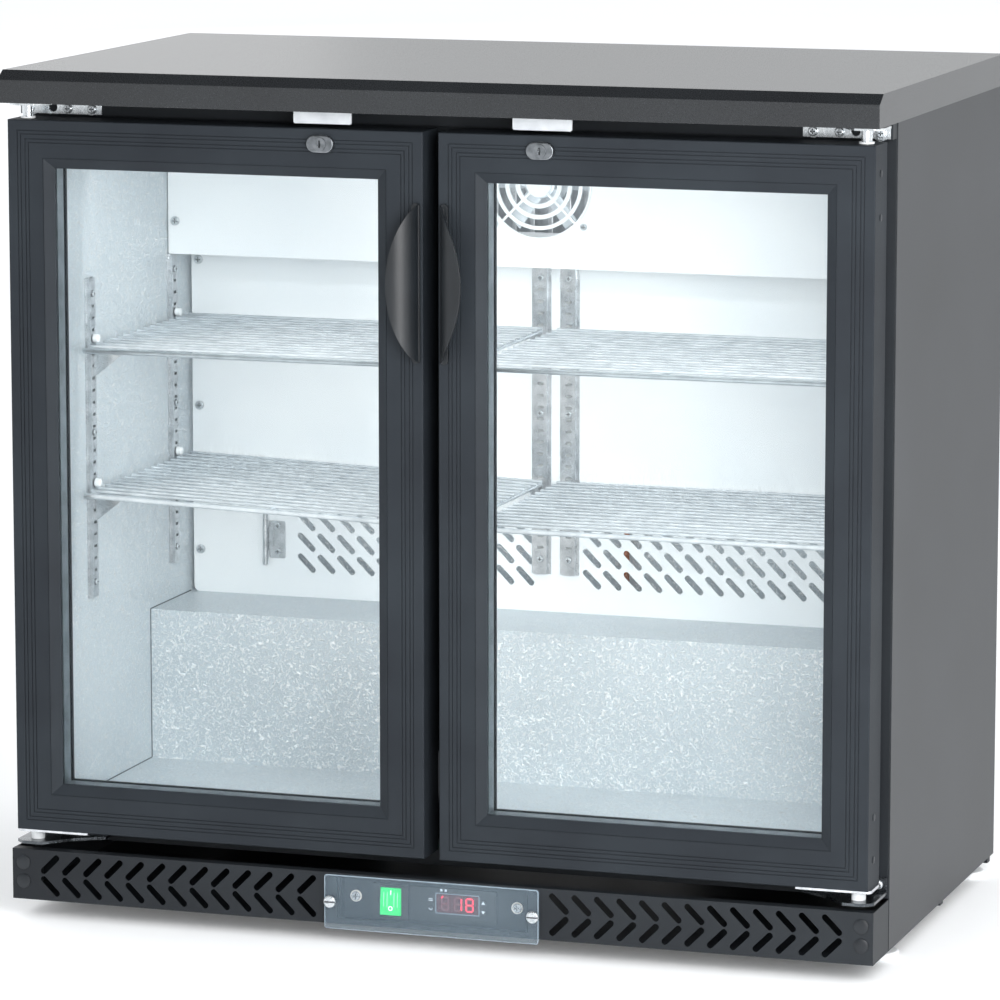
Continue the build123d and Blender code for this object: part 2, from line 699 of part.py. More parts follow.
def condenser_shroud():
    """Square fan plate with its motor and bracket, the fan's axis along X."""
    plate = Box(3, 156, 160) - Rot(Y=90) * Cylinder(70, 10)
    shroud = at(BAY_FAN_X + 14, BAY_D, BAY_FAN_H - 8) * plate
    motor = rod_x(BAY_FAN_X + 24, BAY_FAN_X + 62, BAY_D, BAY_FAN_H, 26)
    shaft = rod_x(BAY_FAN_X - 10, BAY_FAN_X + 24, BAY_D, BAY_FAN_H, 3)
    low = BAY_FAN_H - 9
    high = BAY_FAN_H + 9
    strap = slab(BAY_FAN_X + 30, BAY_FAN_X + 34, BAY_D - 77, BAY_D + 77, low, high)
    legs = slab(BAY_FAN_X + 15, BAY_FAN_X + 30, BAY_D - 77, BAY_D - 74, low, high)
    legs += slab(BAY_FAN_X + 15, BAY_FAN_X + 30, BAY_D + 74, BAY_D + 77, low, high)
    stand = slab(BAY_FAN_X + 12.5, BAY_FAN_X + 15.5, BAY_D - 78, BAY_D + 78, 2, 12)
    return shroud + motor + shaft + strap + legs + stand


def condenser_fan_blade():
    fan = fan_blade(18, 16, 64, 5, 34) - Rot(X=90) * Cylinder(3 + FIT, 40)
    return at(BAY_FAN_X - 2, BAY_D, BAY_FAN_H) * Rot(Z=90) * fan


def evaporator_fan_blade():
    fan = fan_blade(15, 14, 52, 5, 34) - Rot(X=90) * Cylinder(3 + FIT, 40)
    return at(0, 367, FAN_H) * fan


def bent_tube(points, radius, bend):
    """Round copper tube along straight runs joined by arcs."""
    path = FilletPolyline(*[(x, LIP_Y + d, FOOT_H + h) for x, d, h in points], radius=bend)
    return sweep(Plane(origin=path @ 0, z_dir=path % 0) * Circle(radius), path=path)


def refrigerant_pipes():
    """Discharge line, liquid line with its drier, and the suction line up to the evaporator."""
    discharge = bent_tube([(225, 345, 60), (225, 335, 60), (-60, 335, 60), (-60, 350, 60)], 3, 5)
    suction = bent_tube([(136, 468, 60), (60, 468, 60), (60, 468, 470)], 4, 20)
    liquid = bent_tube([(-340, 345, 40), (-356, 345, 40), (-356, 345, 190), (-100, 345, 190)], 3, 12)
    drier = rod_x(-100, -10, 345, 190, 11) + rod_x(-10, 20, 345, 190, 2)
    return [discharge, suction, liquid + drier]


def drip_tray():
    """Open tray that stands on the compressor and lets the defrost water evaporate."""
    outer = slab(120, 330, 345, 500, CAN_TOP, CAN_TOP + 22)
    return outer - slab(122, 328, 347, 498, CAN_TOP + 2, CAN_TOP + 23)


def electrical_box():
    """Terminal box, and the gland that the supply cord would pass through."""
    box = slab(344, 398, 400, 500, 2, 74)
    lid = slab(342, 400, 398, 502, 74, 78)
    gland = rod_y(380, 500, DEPTH - 3, 28, 7.9) + rod_y(380, GRILLE_D + SHEET, DEPTH - 3, 28, 11)
    gland -= rod_y(380, 499, DEPTH, 28, 4.5)
    return [box + lid, gland]


# ---------------------------------------------------------------- fasteners
def screws():
    small = pan_screw(3.6, 2.0)
    medium = pan_screw(4.8, 2.4)
    large = pan_screw(4.7, 2.8)
    slotted = pan_screw(6.3, 3.0, slotted=True)
    heads = []
    for side in (-1, 1):
        for x in (371, 397, 438):
            heads.append(facing_front(large, side * x, 53.5, 801.2))
        heads.append(facing_front(large, side * 440, 67.5, 67))
        heads.append(facing_front(slotted, side * 106, 6.5, 23))
        heads.append(facing_front(medium, side * 84.5, BRACKET_D, SWITCH_H + 3))
        heads.append(facing_front(small, side * 48, FAN_D, FAN_H - 43))
        heads.append(facing_front(medium, side * 403, FAN_D, 657))
        for h in (610, 453, 297):
            heads.append(facing_front(medium, side * 400, DUCT_D, h))
        for h in (PILASTER_H - 148.8, PILASTER_H + 6.2, PILASTER_H + 148.8):
            heads.append(facing_front(small, side * 15.5, DUCT_D - 5, h))
            for d in (135.5, 361):
                heads.append(facing_side(small, side * (ROOM_X - 5), d, h, -side))
    for h in (331 - 4, 301 - 2):
        heads.append(facing_front(small, -311, DUCT_D - 1.5, h))
    return heads


# ---------------------------------------------------------------- write every node
def main():
    shell, core = worktop()
    save("worktop", shell)
    save("foam_insulation", *foam_blocks(core))
    save("inner_liner", *inner_liner())
    save("face_frame", *face_frame())
    save("side_panels", *side_panels())
    save("rear_panel", rear_panel())
    save("rear_grille", rear_grille())
    save("base_frame", *base_frame())
    save("feet", *feet())

    save("kick_plate", *kick_plate())
    save("control_bracket", control_bracket())
    save("switch_housing", switch_housing())
    save("rocker", rocker())
    save("controller_body", controller_body())
    for name, (x, h) in BUTTON_PLACES.items():
        save(f"button_{name}", controller_button(x, h))
    save("clear_cover", clear_cover())

    brackets = top_bracket() + bottom_bracket()
    save("hinge_brackets", *[mirrored(piece, side) for side in (1, -1) for piece in brackets])
    save("hinge_bushes", *[mirrored(bush, side) for side in (1, -1) for bush in hinge_bushes()])
    save("lock_strikes", *[piece for half in lock_strike() for piece in both_sides(half)])
    door(-1)
    door(1)

    save("shelf_pilasters", *pilasters())
    save("shelf_clips", *shelf_clips())
    shelves()
    save("duct_panel", duct_panel())
    save("fan_cover", fan_cover())
    save("fan_guard", fan_guard())
    save("evaporator_fan_motor", evaporator_fan_motor())
    save("evaporator_fan_blade", evaporator_fan_blade())
    save("evaporator_coil", finned_block(-330, 330, 430, ROOM_BACK, 470, 740, 34))
    save("temperature_probe", temperature_probe())
    save("interior_lamp", interior_lamp())

    save("compressor", compressor())
    save("condenser_coil", finned_block(-330, -165, 345, 500, 2, 176, 22))
    save("condenser_shroud", condenser_shroud())
    save("condenser_fan_blade", condenser_fan_blade())
    save("refrigerant_pipes", *refrigerant_pipes())
    save("drip_tray", drip_tray())
    save("electrical_box", *electrical_box())
    save("screws", *screws())


main()
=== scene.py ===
"""Looks of a two-door under counter display fridge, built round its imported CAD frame.

Lengths are in metres in the row frame. Places on the fridge are given as the CAD gives them: x from
the middle, depth back from the worktop's front edge and height up from the cabinet's underside, all
in millimetres, and at() turns them into the row frame.
"""

import math

import bmesh
import bpy
from mathutils import Matrix, Vector


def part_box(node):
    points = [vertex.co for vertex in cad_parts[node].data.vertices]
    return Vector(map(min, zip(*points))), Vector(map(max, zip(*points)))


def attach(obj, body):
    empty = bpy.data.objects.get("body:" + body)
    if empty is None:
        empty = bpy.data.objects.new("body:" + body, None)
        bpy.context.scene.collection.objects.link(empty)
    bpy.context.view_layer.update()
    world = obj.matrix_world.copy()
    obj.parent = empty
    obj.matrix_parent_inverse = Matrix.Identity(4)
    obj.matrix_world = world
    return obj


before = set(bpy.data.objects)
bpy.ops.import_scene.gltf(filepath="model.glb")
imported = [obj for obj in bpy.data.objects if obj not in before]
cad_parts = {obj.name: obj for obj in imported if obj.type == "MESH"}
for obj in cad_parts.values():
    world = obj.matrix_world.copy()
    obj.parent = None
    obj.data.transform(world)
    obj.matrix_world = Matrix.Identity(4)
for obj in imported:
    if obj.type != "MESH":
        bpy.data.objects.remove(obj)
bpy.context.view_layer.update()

MM = 0.001
LIP_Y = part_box("worktop")[0].y
BASE_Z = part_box("side_panels")[0].z


def at(x, d, h):
    """Row frame point from x, depth and height in millimetres."""
    return Vector((x * MM, LIP_Y + d * MM, BASE_Z + h * MM))


# ---------------------------------------------------------------- shader helpers
def new_material(name, constants):
    """A Principled material with its constant sockets set."""
    material = bpy.data.materials.new(name)
    material.use_nodes = True
    tree = material.node_tree
    principled = tree.nodes["Principled BSDF"]
    for socket, value in constants.items():
        principled.inputs[socket].default_value = value
    return material, tree, principled


def rgb(red, green, blue):
    """Linear colour from sRGB values of 0 to 255."""
    channels = []
    for value in (red, green, blue):
        share = value / 255
        channels.append(share / 12.92 if share <= 0.04045 else ((share + 0.055) / 1.055) ** 2.4)
    return (*channels, 1.0)


def noise(tree, scale, detail=3.0, distortion=0.0):
    """Cloudy pattern over the object, from 0 to 1."""
    coords = tree.nodes.new("ShaderNodeTexCoord").outputs["Object"]
    made = tree.nodes.new("ShaderNodeTexNoise")
    made.inputs["Scale"].default_value = scale
    made.inputs["Detail"].default_value = detail
    made.inputs["Distortion"].default_value = distortion
    tree.links.new(coords, made.inputs["Vector"])
    return made.outputs["Fac"]


def remap(tree, value, low, high, from_low=0.3, from_high=0.7):
    """Stretch the part of a pattern between from_low and from_high to low to high."""
    made = tree.nodes.new("ShaderNodeMapRange")
    made.inputs["From Min"].default_value = from_low
    made.inputs["From Max"].default_value = from_high
    made.inputs["To Min"].default_value = low
    made.inputs["To Max"].default_value = high
    tree.links.new(value, made.inputs["Value"])
    return made.outputs["Result"]


def mix_colours(tree, factor, first, second):
    """Colour from first to second, each a constant colour or a socket, by a factor's socket."""
    made = tree.nodes.new("ShaderNodeMix")
    made.data_type = "RGBA"
    tree.links.new(factor, made.inputs["Factor"])
    for socket, colour in (("A", first), ("B", second)):
        if isinstance(colour, tuple):
            made.inputs[socket].default_value = colour
        else:
            tree.links.new(colour, made.inputs[socket])
    return made.outputs["Result"]


def two_colours(tree, pattern, dark, light):
    """Colour between dark and light by the pattern."""
    return mix_colours(tree, remap(tree, pattern, 0, 1), dark, light)


def relief(tree, principled, pattern, depth, edge_radius=0.0):
    """Bump from a pattern, over edges that look rounded by edge_radius."""
    bump = tree.nodes.new("ShaderNodeBump")
    bump.inputs["Distance"].default_value = depth
    tree.links.new(pattern, bump.inputs["Height"])
    if edge_radius:
        bevel = tree.nodes.new("ShaderNodeBevel")
        bevel.samples = 4
        bevel.inputs["Radius"].default_value = edge_radius
        tree.links.new(bevel.outputs["Normal"], bump.inputs["Normal"])
    tree.links.new(bump.outputs["Normal"], principled.inputs["Normal"])


def finish_of(name, dark, light, rough, patch, grain, depth, edge_radius=0.0, **constants):
    """Surface whose colour wanders in patches and whose roughness and relief have a fine grain.

    Other keywords are shader sockets in small letters, such as specular_ior_level.
    """
    sockets = {key.replace("_", " ").title().replace("Ior", "IOR"): constants[key] for key in constants}
    material, tree, principled = new_material(name, sockets)
    wander = noise(tree, patch, 5.0)
    fine = noise(tree, grain, 2.0)
    tree.links.new(two_colours(tree, wander, dark, light), principled.inputs["Base Color"])
    tree.links.new(remap(tree, fine, *rough), principled.inputs["Roughness"])
    relief(tree, principled, fine, depth, edge_radius)
    return material


def math_node(tree, operation, first, second):
    """Math node on a socket and a number or second socket."""
    made = tree.nodes.new("ShaderNodeMath")
    made.operation = operation
    tree.links.new(first, made.inputs[0])
    if isinstance(second, float):
        made.inputs[1].default_value = second
    else:
        tree.links.new(second, made.inputs[1])
    return made.outputs["Value"]


def stucco_sheet():
    """Aluminium sheet embossed all over with short winding ridges, which carry a painted highlight that
    makes them bright.
    """
    material, tree, principled = new_material("stucco_sheet", {"Metallic": 0.3})
    swirl = noise(tree, 240.0, 0.0, 1.0)
    offset = math_node(tree, "SUBTRACT", swirl, 0.5)
    gap = math_node(tree, "MULTIPLY", offset, offset)
    line = remap(tree, gap, 1, 0, 0.001, 0.008)
    breaks = remap(tree, noise(tree, 310.0, 0.0), 0, 1, 0.38, 0.5)
    ridges = math_node(tree, "MULTIPLY", line, breaks)
    sheet = two_colours(tree, noise(tree, 4.0, 3.0), rgb(188, 197, 203), rgb(206, 214, 219))
    # painted highlight: the ridges are mixed toward near white, standing in for glints off their slopes
    colour = mix_colours(tree, ridges, sheet, rgb(250, 252, 253))
    tree.links.new(colour, principled.inputs["Base Color"])
    tree.links.new(remap(tree, ridges, 0.4, 0.26, 0.0, 1.0), principled.inputs["Roughness"])
    relief(tree, principled, ridges, 0.0007)
    return material


def hinge_plate_metal():
    """Zinc plating on the hinges, bright on the upper ones and darker on the lower ones near the floor by
    painted shade.
    """
    material, tree, principled = new_material("hinge_plate_metal", {"Metallic": 1.0})
    split = tree.nodes.new("ShaderNodeSeparateXYZ")
    tree.links.new(tree.nodes.new("ShaderNodeTexCoord").outputs["Object"], split.inputs["Vector"])
    height = remap(tree, split.outputs["Z"], 0, 1, 0.3, 0.6)
    wander = noise(tree, 120.0, 4.0)
    fine = noise(tree, 900.0, 2.0)
    # painted shade: the lower brackets get a dark copy of the plating, mixed in by height
    lower = two_colours(tree, wander, rgb(74, 78, 82), rgb(104, 108, 112))
    upper = two_colours(tree, wander, rgb(214, 219, 223), rgb(240, 243, 245))
    tree.links.new(mix_colours(tree, height, lower, upper), principled.inputs["Base Color"])
    tree.links.new(remap(tree, fine, 0.18, 0.34), principled.inputs["Roughness"])
    relief(tree, principled, fine, 0.00002, 0.0004)
    return material


def screw_metal():
    """Plated steel whose drive recesses are darkened by painted shade."""
    material, tree, principled = new_material("screw_metal", {"Metallic": 0.8})
    # painted shade: ambient occlusion turns the recesses near black
    cover = tree.nodes.new("ShaderNodeAmbientOcclusion")
    cover.samples = 8
    cover.inputs["Distance"].default_value = 2.5 * MM
    unshaded = remap(tree, cover.outputs["AO"], 0, 1, 0.45, 0.85)
    plating = two_colours(tree, noise(tree, 200.0, 3.0), rgb(182, 188, 192), rgb(222, 226, 229))
    tree.links.new(mix_colours(tree, unshaded, rgb(44, 48, 52), plating), principled.inputs["Base Color"])
    fine = noise(tree, 900.0, 2.0)
    tree.links.new(remap(tree, fine, 0.2, 0.36), principled.inputs["Roughness"])
    relief(tree, principled, fine, 0.00002, 0.0003)
    return material


def pane_glass():
    """Thin clear sheet: it lets light straight through and mirrors more at a flat angle."""
    material, tree, principled = new_material("clear_glass", {})
    tree.nodes.remove(principled)
    clear = tree.nodes.new("ShaderNodeBsdfTransparent")
    clear.inputs["Color"].default_value = (0.985, 0.993, 0.993, 1)
    mirror = tree.nodes.new("ShaderNodeBsdfGlossy")
    mirror.inputs["Color"].default_value = (0.8, 0.86, 0.9, 1)
    haze = noise(tree, 14.0, 4.0)
    tree.links.new(remap(tree, haze, 0.0, 0.03), mirror.inputs["Roughness"])
    fresnel = tree.nodes.new("ShaderNodeFresnel")
    fresnel.inputs["IOR"].default_value = 1.2
    mix = tree.nodes.new("ShaderNodeMixShader")
    tree.links.new(fresnel.outputs["Fac"], mix.inputs["Fac"])
    tree.links.new(clear.outputs["BSDF"], mix.inputs[1])
    tree.links.new(mirror.outputs["BSDF"], mix.inputs[2])
    tree.links.new(mix.outputs["Shader"], tree.nodes["Material Output"].inputs["Surface"])
    return material


# ---------------------------------------------------------------- materials
# colours in patches, roughness, how fine the patches and the grain are, and its depth in relief
FINISHES = {
    "powder_coat": dict(
        dark=rgb(32, 35, 38), light=rgb(40, 43, 47), rough=(0.38, 0.52), patch=7.0, grain=1100.0,
        depth=0.00005, edge_radius=0.0006, specular_ior_level=0.42,
    ),
    "worktop_coat": dict(
        dark=rgb(22, 24, 27), light=rgb(28, 31, 34), rough=(0.24, 0.32), patch=7.0, grain=900.0,
        depth=0.00002, edge_radius=0.0008, specular_ior_level=0.75,
    ),
    "kick_coat": dict(
        dark=rgb(28, 31, 35), light=rgb(35, 39, 43), rough=(0.42, 0.54), patch=7.0, grain=1100.0,
        depth=0.00005, edge_radius=0.0006, specular_ior_level=0.25,
    ),
    "door_coat": dict(
        dark=rgb(33, 37, 42), light=rgb(40, 45, 50), rough=(0.5, 0.62), patch=11.0, grain=1300.0,
        depth=0.00003, edge_radius=0.0004, specular_ior_level=0.17,
    ),
    "grip_plastic": dict(
        dark=rgb(22, 25, 28), light=rgb(29, 33, 37), rough=(0.36, 0.44), patch=20.0, grain=1500.0,
        depth=0.00002, edge_radius=0.0009, specular_ior_level=0.45,
    ),
    "black_plastic": dict(
        dark=rgb(26, 27, 30), light=rgb(36, 38, 41), rough=(0.35, 0.5), patch=25.0, grain=1600.0,
        depth=0.00003, edge_radius=0.0004,
    ),
    "cap_plastic": dict(
        dark=rgb(28, 31, 35), light=rgb(37, 41, 45), rough=(0.34, 0.44), patch=60.0, grain=1600.0,
        depth=0.00002, edge_radius=0.0006, specular_ior_level=0.35,
    ),
    "face_plastic": dict(
        dark=rgb(24, 27, 31), light=rgb(32, 36, 40), rough=(0.4, 0.5), patch=30.0, grain=1600.0,
        depth=0.00003, edge_radius=0.0004,
    ),
    "button_plastic": dict(
        dark=rgb(30, 34, 38), light=rgb(42, 47, 52), rough=(0.45, 0.55), patch=80.0, grain=2200.0,
        depth=0.00002, edge_radius=0.0003,
    ),
    "rubber": dict(
        dark=rgb(34, 35, 37), light=rgb(46, 47, 50), rough=(0.55, 0.7), patch=30.0, grain=1400.0,
        depth=0.00004, edge_radius=0.0006,
    ),
    "white_sheet": dict(
        dark=rgb(236, 240, 243), light=rgb(248, 250, 251), rough=(0.3, 0.4), patch=6.0, grain=700.0,
        depth=0.00002, edge_radius=0.0006,
    ),
    "white_plastic": dict(
        dark=rgb(226, 229, 231), light=rgb(242, 244, 245), rough=(0.35, 0.5), patch=50.0,
        grain=1500.0, depth=0.00002, edge_radius=0.0005,
    ),
    "galvanised": dict(
        dark=rgb(150, 155, 160), light=rgb(196, 200, 205), rough=(0.3, 0.5), patch=60.0,
        grain=700.0, depth=0.00002, edge_radius=0.0004, metallic=1.0,
    ),
    "zinc_plate": dict(
        dark=rgb(196, 199, 203), light=rgb(232, 234, 238), rough=(0.16, 0.3), patch=120.0,
        grain=900.0, depth=0.00002, edge_radius=0.0004, metallic=1.0,
    ),
    "chrome_wire": dict(
        dark=rgb(196, 202, 207), light=rgb(226, 231, 235), rough=(0.3, 0.42), patch=60.0,
        grain=1200.0, depth=0.00001, metallic=0.75,
    ),
    # sealer beads in the liner's inside corners, dark grey as painted shade
    "sealer_and_shade": dict(
        dark=rgb(66, 74, 80), light=rgb(96, 104, 110), rough=(0.5, 0.65), patch=90.0, grain=900.0,
        depth=0.00004,
    ),
    "washer": dict(
        dark=rgb(240, 234, 222), light=rgb(252, 247, 238), rough=(0.3, 0.42), patch=160.0,
        grain=1200.0, depth=0.00002, edge_radius=0.0003,
    ),
    "steel_trim": dict(
        dark=rgb(176, 180, 184), light=rgb(212, 215, 218), rough=(0.22, 0.36), patch=90.0,
        grain=1300.0, depth=0.00001, edge_radius=0.0003, metallic=1.0,
    ),
    "lock_steel": dict(
        dark=rgb(112, 116, 120), light=rgb(150, 154, 158), rough=(0.28, 0.42), patch=160.0,
        grain=1300.0, depth=0.00002, edge_radius=0.0004, metallic=1.0,
    ),
    "satin_zinc": dict(
        dark=rgb(188, 192, 196), light=rgb(208, 212, 215), rough=(0.4, 0.55), patch=60.0,
        grain=900.0, depth=0.00002, edge_radius=0.0004, metallic=0.35,
    ),
    "spacer_bar": dict(
        dark=rgb(96, 104, 110), light=rgb(126, 134, 140), rough=(0.3, 0.45), patch=60.0,
        grain=900.0, depth=0.00001, metallic=0.7,
    ),
    "fin_stock": dict(
        dark=rgb(176, 180, 184), light=rgb(214, 217, 220), rough=(0.25, 0.45), patch=80.0,
        grain=900.0, depth=0.00002, metallic=1.0,
    ),
    "fan_aluminium": dict(
        dark=rgb(176, 184, 190), light=rgb(208, 214, 219), rough=(0.4, 0.55), patch=60.0,
        grain=900.0, depth=0.00003, edge_radius=0.0004, metallic=0.3,
    ),
    "grey_enamel": dict(
        dark=rgb(84, 87, 90), light=rgb(104, 107, 110), rough=(0.35, 0.45), patch=30.0, grain=900.0,
        depth=0.00002, edge_radius=0.0005,
    ),
    "black_enamel": dict(
        dark=rgb(16, 17, 18), light=rgb(28, 29, 30), rough=(0.16, 0.26), patch=12.0, grain=260.0,
        depth=0.00008, edge_radius=0.0008,
    ),
    "copper": dict(
        dark=rgb(176, 104, 72), light=rgb(214, 140, 104), rough=(0.2, 0.38), patch=70.0,
        grain=900.0, depth=0.00001, metallic=1.0,
    ),
    "foam": dict(
        dark=rgb(214, 196, 150), light=rgb(232, 218, 178), rough=(0.8, 0.95), patch=60.0,
        grain=500.0, depth=0.0003,
    ),
    "green_lens": dict(
        dark=rgb(6, 170, 84), light=rgb(20, 200, 108), rough=(0.12, 0.22), patch=90.0, grain=900.0,
        depth=0.00002, edge_radius=0.0004, emission_color=rgb(10, 205, 100), emission_strength=0.85,
    ),
    "pale_green": dict(
        dark=rgb(140, 230, 176), light=rgb(176, 244, 202), rough=(0.2, 0.3), patch=160.0,
        grain=900.0, depth=0.00002, emission_color=rgb(130, 235, 175), emission_strength=0.7,
    ),
    "lit_white": dict(
        dark=rgb(236, 242, 246), light=rgb(246, 250, 252), rough=(0.4, 0.5), patch=160.0,
        grain=900.0, depth=0.00001, emission_color=rgb(225, 250, 238), emission_strength=1.2,
    ),
    "opal": dict(
        dark=rgb(240, 243, 245), light=rgb(250, 251, 252), rough=(0.4, 0.5), patch=30.0,
        grain=900.0, depth=0.00001, emission_color=(1, 1, 1, 1), emission_strength=6.0,
    ),
    "display_lens": dict(
        dark=rgb(64, 18, 28), light=rgb(84, 26, 38), rough=(0.08, 0.14), patch=160.0, grain=1500.0,
        depth=0.00001, edge_radius=0.0003,
    ),
    "dark_segment": dict(
        dark=rgb(108, 36, 48), light=rgb(124, 44, 56), rough=(0.3, 0.4), patch=160.0, grain=1500.0,
        depth=0.00001,
    ),
    "lit_segment": dict(
        dark=rgb(250, 50, 70), light=rgb(255, 70, 90), rough=(0.3, 0.4), patch=160.0, grain=1500.0,
        depth=0.00001, emission_color=rgb(255, 40, 66), emission_strength=1.3,
    ),
    "mark_white": dict(
        dark=rgb(212, 222, 230), light=rgb(232, 240, 246), rough=(0.5, 0.6), patch=160.0,
        grain=1500.0, depth=0.00001,
    ),
    "rim_grey": dict(
        dark=rgb(118, 130, 140), light=rgb(136, 148, 158), rough=(0.5, 0.6), patch=160.0,
        grain=1500.0, depth=0.00001,
    ),
    "smoked_acrylic": dict(
        dark=rgb(132, 152, 167), light=rgb(150, 170, 184), rough=(0.03, 0.08), patch=12.0,
        grain=40.0, depth=0.00001, alpha=0.14,
    ),
    "cover_edge": dict(
        dark=rgb(150, 166, 178), light=rgb(172, 187, 198), rough=(0.1, 0.2), patch=60.0,
        grain=600.0, depth=0.00001, alpha=0.6,
    ),
}

materials = {name: finish_of(name, **look) for name, look in FINISHES.items()}
materials["stucco_sheet"] = stucco_sheet()
materials["hinge_plate_metal"] = hinge_plate_metal()
materials["screw_metal"] = screw_metal()
materials["clear_glass"] = pane_glass()

NODE_MATERIALS = {
    "worktop_coat": ["worktop"],
    "powder_coat": ["side_panels", "rear_grille"],
    # the base frame takes this dark coat as its paint and also as painted shade seen through the kick
    # plate's slots
    "kick_coat": ["face_frame", "kick_plate", "control_bracket", "base_frame"],
    "door_coat": ["door_frame_left", "door_frame_right"],
    "grip_plastic": ["door_handle_left", "door_handle_right"],
    "black_plastic": ["switch_housing", "electrical_box"],
    "face_plastic": ["controller_body"],
    "button_plastic": ["button_set", "button_defrost", "button_up", "button_down"],
    "rubber": ["door_gasket_left", "door_gasket_right"],
    "stucco_sheet": ["inner_liner"],
    "white_sheet": ["duct_panel", "fan_cover", "fan_guard"],
    "white_plastic": ["hinge_bushes", "feet"],
    "galvanised": ["rear_panel", "drip_tray"],
    "zinc_plate": ["door_hinge_plate_left", "door_hinge_plate_right"],
    "hinge_plate_metal": ["hinge_brackets"],
    "screw_metal": ["screws"],
    "satin_zinc": ["lock_strikes"],
    "chrome_wire": ["shelf_lower_left", "shelf_lower_right", "shelf_upper_left", "shelf_upper_right"],
    "steel_trim": ["shelf_pilasters", "shelf_clips", "temperature_probe"],
    "lock_steel": ["lock_barrel_left", "lock_barrel_right", "lock_plate_left", "lock_plate_right"],
    "spacer_bar": ["door_spacer_left", "door_spacer_right"],
    "fin_stock": ["evaporator_coil", "condenser_coil"],
    "grey_enamel": ["condenser_shroud", "condenser_fan_blade"],
    "fan_aluminium": ["evaporator_fan_motor", "evaporator_fan_blade"],
    "black_enamel": ["compressor"],
    "copper": ["refrigerant_pipes"],
    "foam": ["foam_insulation"],
    "green_lens": ["rocker"],
    "opal": ["interior_lamp"],
    "clear_glass": ["door_glass_left", "door_glass_right"],
    "smoked_acrylic": ["clear_cover"],
}


def dress_nodes():
    """Give every CAD node its material."""
    for name, node_names in NODE_MATERIALS.items():
        for node_name in node_names:
            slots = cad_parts[node_name].data.materials
            slots.clear()
            slots.append(materials[name])


# ---------------------------------------------------------------- mesh helpers
SMOOTH_ANGLE = 35


def piece(name, build, material, body, bevel=0.0):
    """Object from a bmesh, rounded by a bevel, riding on a body with a slot's finish."""
    mesh = bpy.data.meshes.new(name)
    build.to_mesh(mesh)
    build.free()
    made = bpy.data.objects.new(name, mesh)
    bpy.context.scene.collection.objects.link(made)
    mesh.materials.append(materials[material])
    if bevel:
        rounding = made.modifiers.new("rounding", "BEVEL")
        rounding.width = bevel
        rounding.segments = 2
        rounding.limit_method = "ANGLE"
    mesh.shade_smooth()
    mesh.set_sharp_from_angle(angle=math.radians(SMOOTH_ANGLE))
    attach(made, body)


def add_prism(build, outline, back, front, place):
    """Closed prism of an outline in x and z, from back to front along -y, moved by place."""
    rings = []
    for y in (back, front):
        rings.append([build.verts.new(place @ Vector((x, y, z))) for x, z in outline])
    build.faces.new(rings[0])
    build.faces.new(list(reversed(rings[1])))
    count = len(outline)
    for i in range(count):
        j = (i + 1) % count
        build.faces.new([rings[0][j], rings[0][i], rings[1][i], rings[1][j]])


def add_lathe(build, profile, place, steps=32):
    """Closed turned solid: profile gives radius and height from the axis bottom to its top."""
    rings = []
    for radius, height in profile:
        if radius == 0:
            rings.append([build.verts.new(place @ Vector((0, 0, height)))])
            continue
        ring = []
        for i in range(steps):
            turn = 2 * math.pi * i / steps
            point = Vector((radius * math.cos(turn), radius * math.sin(turn), height))
            ring.append(build.verts.new(place @ point))
        rings.append(ring)
    for low, high in zip(rings, rings[1:]):
        for i in range(steps):
            j = (i + 1) % steps
            corners = [low[i % len(low)], low[j % len(low)], high[j % len(high)], high[i % len(high)]]
            unique = list(dict.fromkeys(corners))
            build.faces.new(unique)


def add_tube(build, profile, place, steps=28):
    """Closed ring turned from a profile whose last point is its first."""
    rings = []
    for radius, height in profile[:-1]:
        turns = [2 * math.pi * i / steps for i in range(steps)]
        points = [Vector((radius * math.cos(t), radius * math.sin(t), height)) for t in turns]
        rings.append([build.verts.new(place @ point) for point in points])
    for low, high in zip(rings, rings[1:] + rings[:1]):
        for i in range(steps):
            j = (i + 1) % steps
            build.faces.new([low[i], low[j], high[j], high[i]])


def facing(x, d, h, direction):
    """Place whose +Z points along direction, at a point of the fridge."""
    turn = Vector((0, 0, 1)).rotation_difference(Vector(direction)).to_matrix().to_4x4()
    return Matrix.Translation(at(x, d, h)) @ turn


def circle_points(radius, count):
    """Outline of a circle round the origin."""
    turns = [2 * math.pi * i / count for i in range(count)]
    return [(radius * math.cos(t), radius * math.sin(t)) for t in turns]


def box_outline(x0, x1, z0, z1):
    """Outline of a rectangle, its sides given in millimetres."""
    return [(x0 * MM, z0 * MM), (x1 * MM, z0 * MM), (x1 * MM, z1 * MM), (x0 * MM, z1 * MM)]


def disc_profile(radius, height, dome):
    """Lathe profile of a button head: flat back, short wall, rounded shoulder and shallow dome."""
    shoulder = height - dome
    return [
        (0, 0), (radius, 0), (radius, shoulder * 0.7), (radius * 0.93, shoulder),
        (radius * 0.6, height - dome * 0.35), (radius * 0.3, height - dome * 0.08), (0, height),
    ]


# ---------------------------------------------------------------- pieces
# places and sizes named here are in millimetres, in x, depth and height
FRONT = (0, -1, 0)
SIDES = ((-1, "left"), (1, "right"))

CAP_X = 438
KICK_FACE = 10
CAP_HEIGHTS = (38.0, 18.8)
CAP_HEAD = disc_profile(7.4 * MM, 1.8 * MM, 0.8 * MM)


def kick_caps():
    """Push-in caps at both ends of the kick plate."""
    for side, label in SIDES:
        build = bmesh.new()
        for height in CAP_HEIGHTS:
            add_lathe(build, CAP_HEAD, facing(CAP_X * side, KICK_FACE, height, FRONT))
        piece(f"kick_caps_{label}", build, "cap_plastic", "cabinet")


DOOR_EDGE_X = 444
PLUG_DEPTH = 30
PLUG_HEIGHTS = (765, 723, 142, 100)
PLUG_HEAD = disc_profile(3.6 * MM, 1.3 * MM, 0.5 * MM)


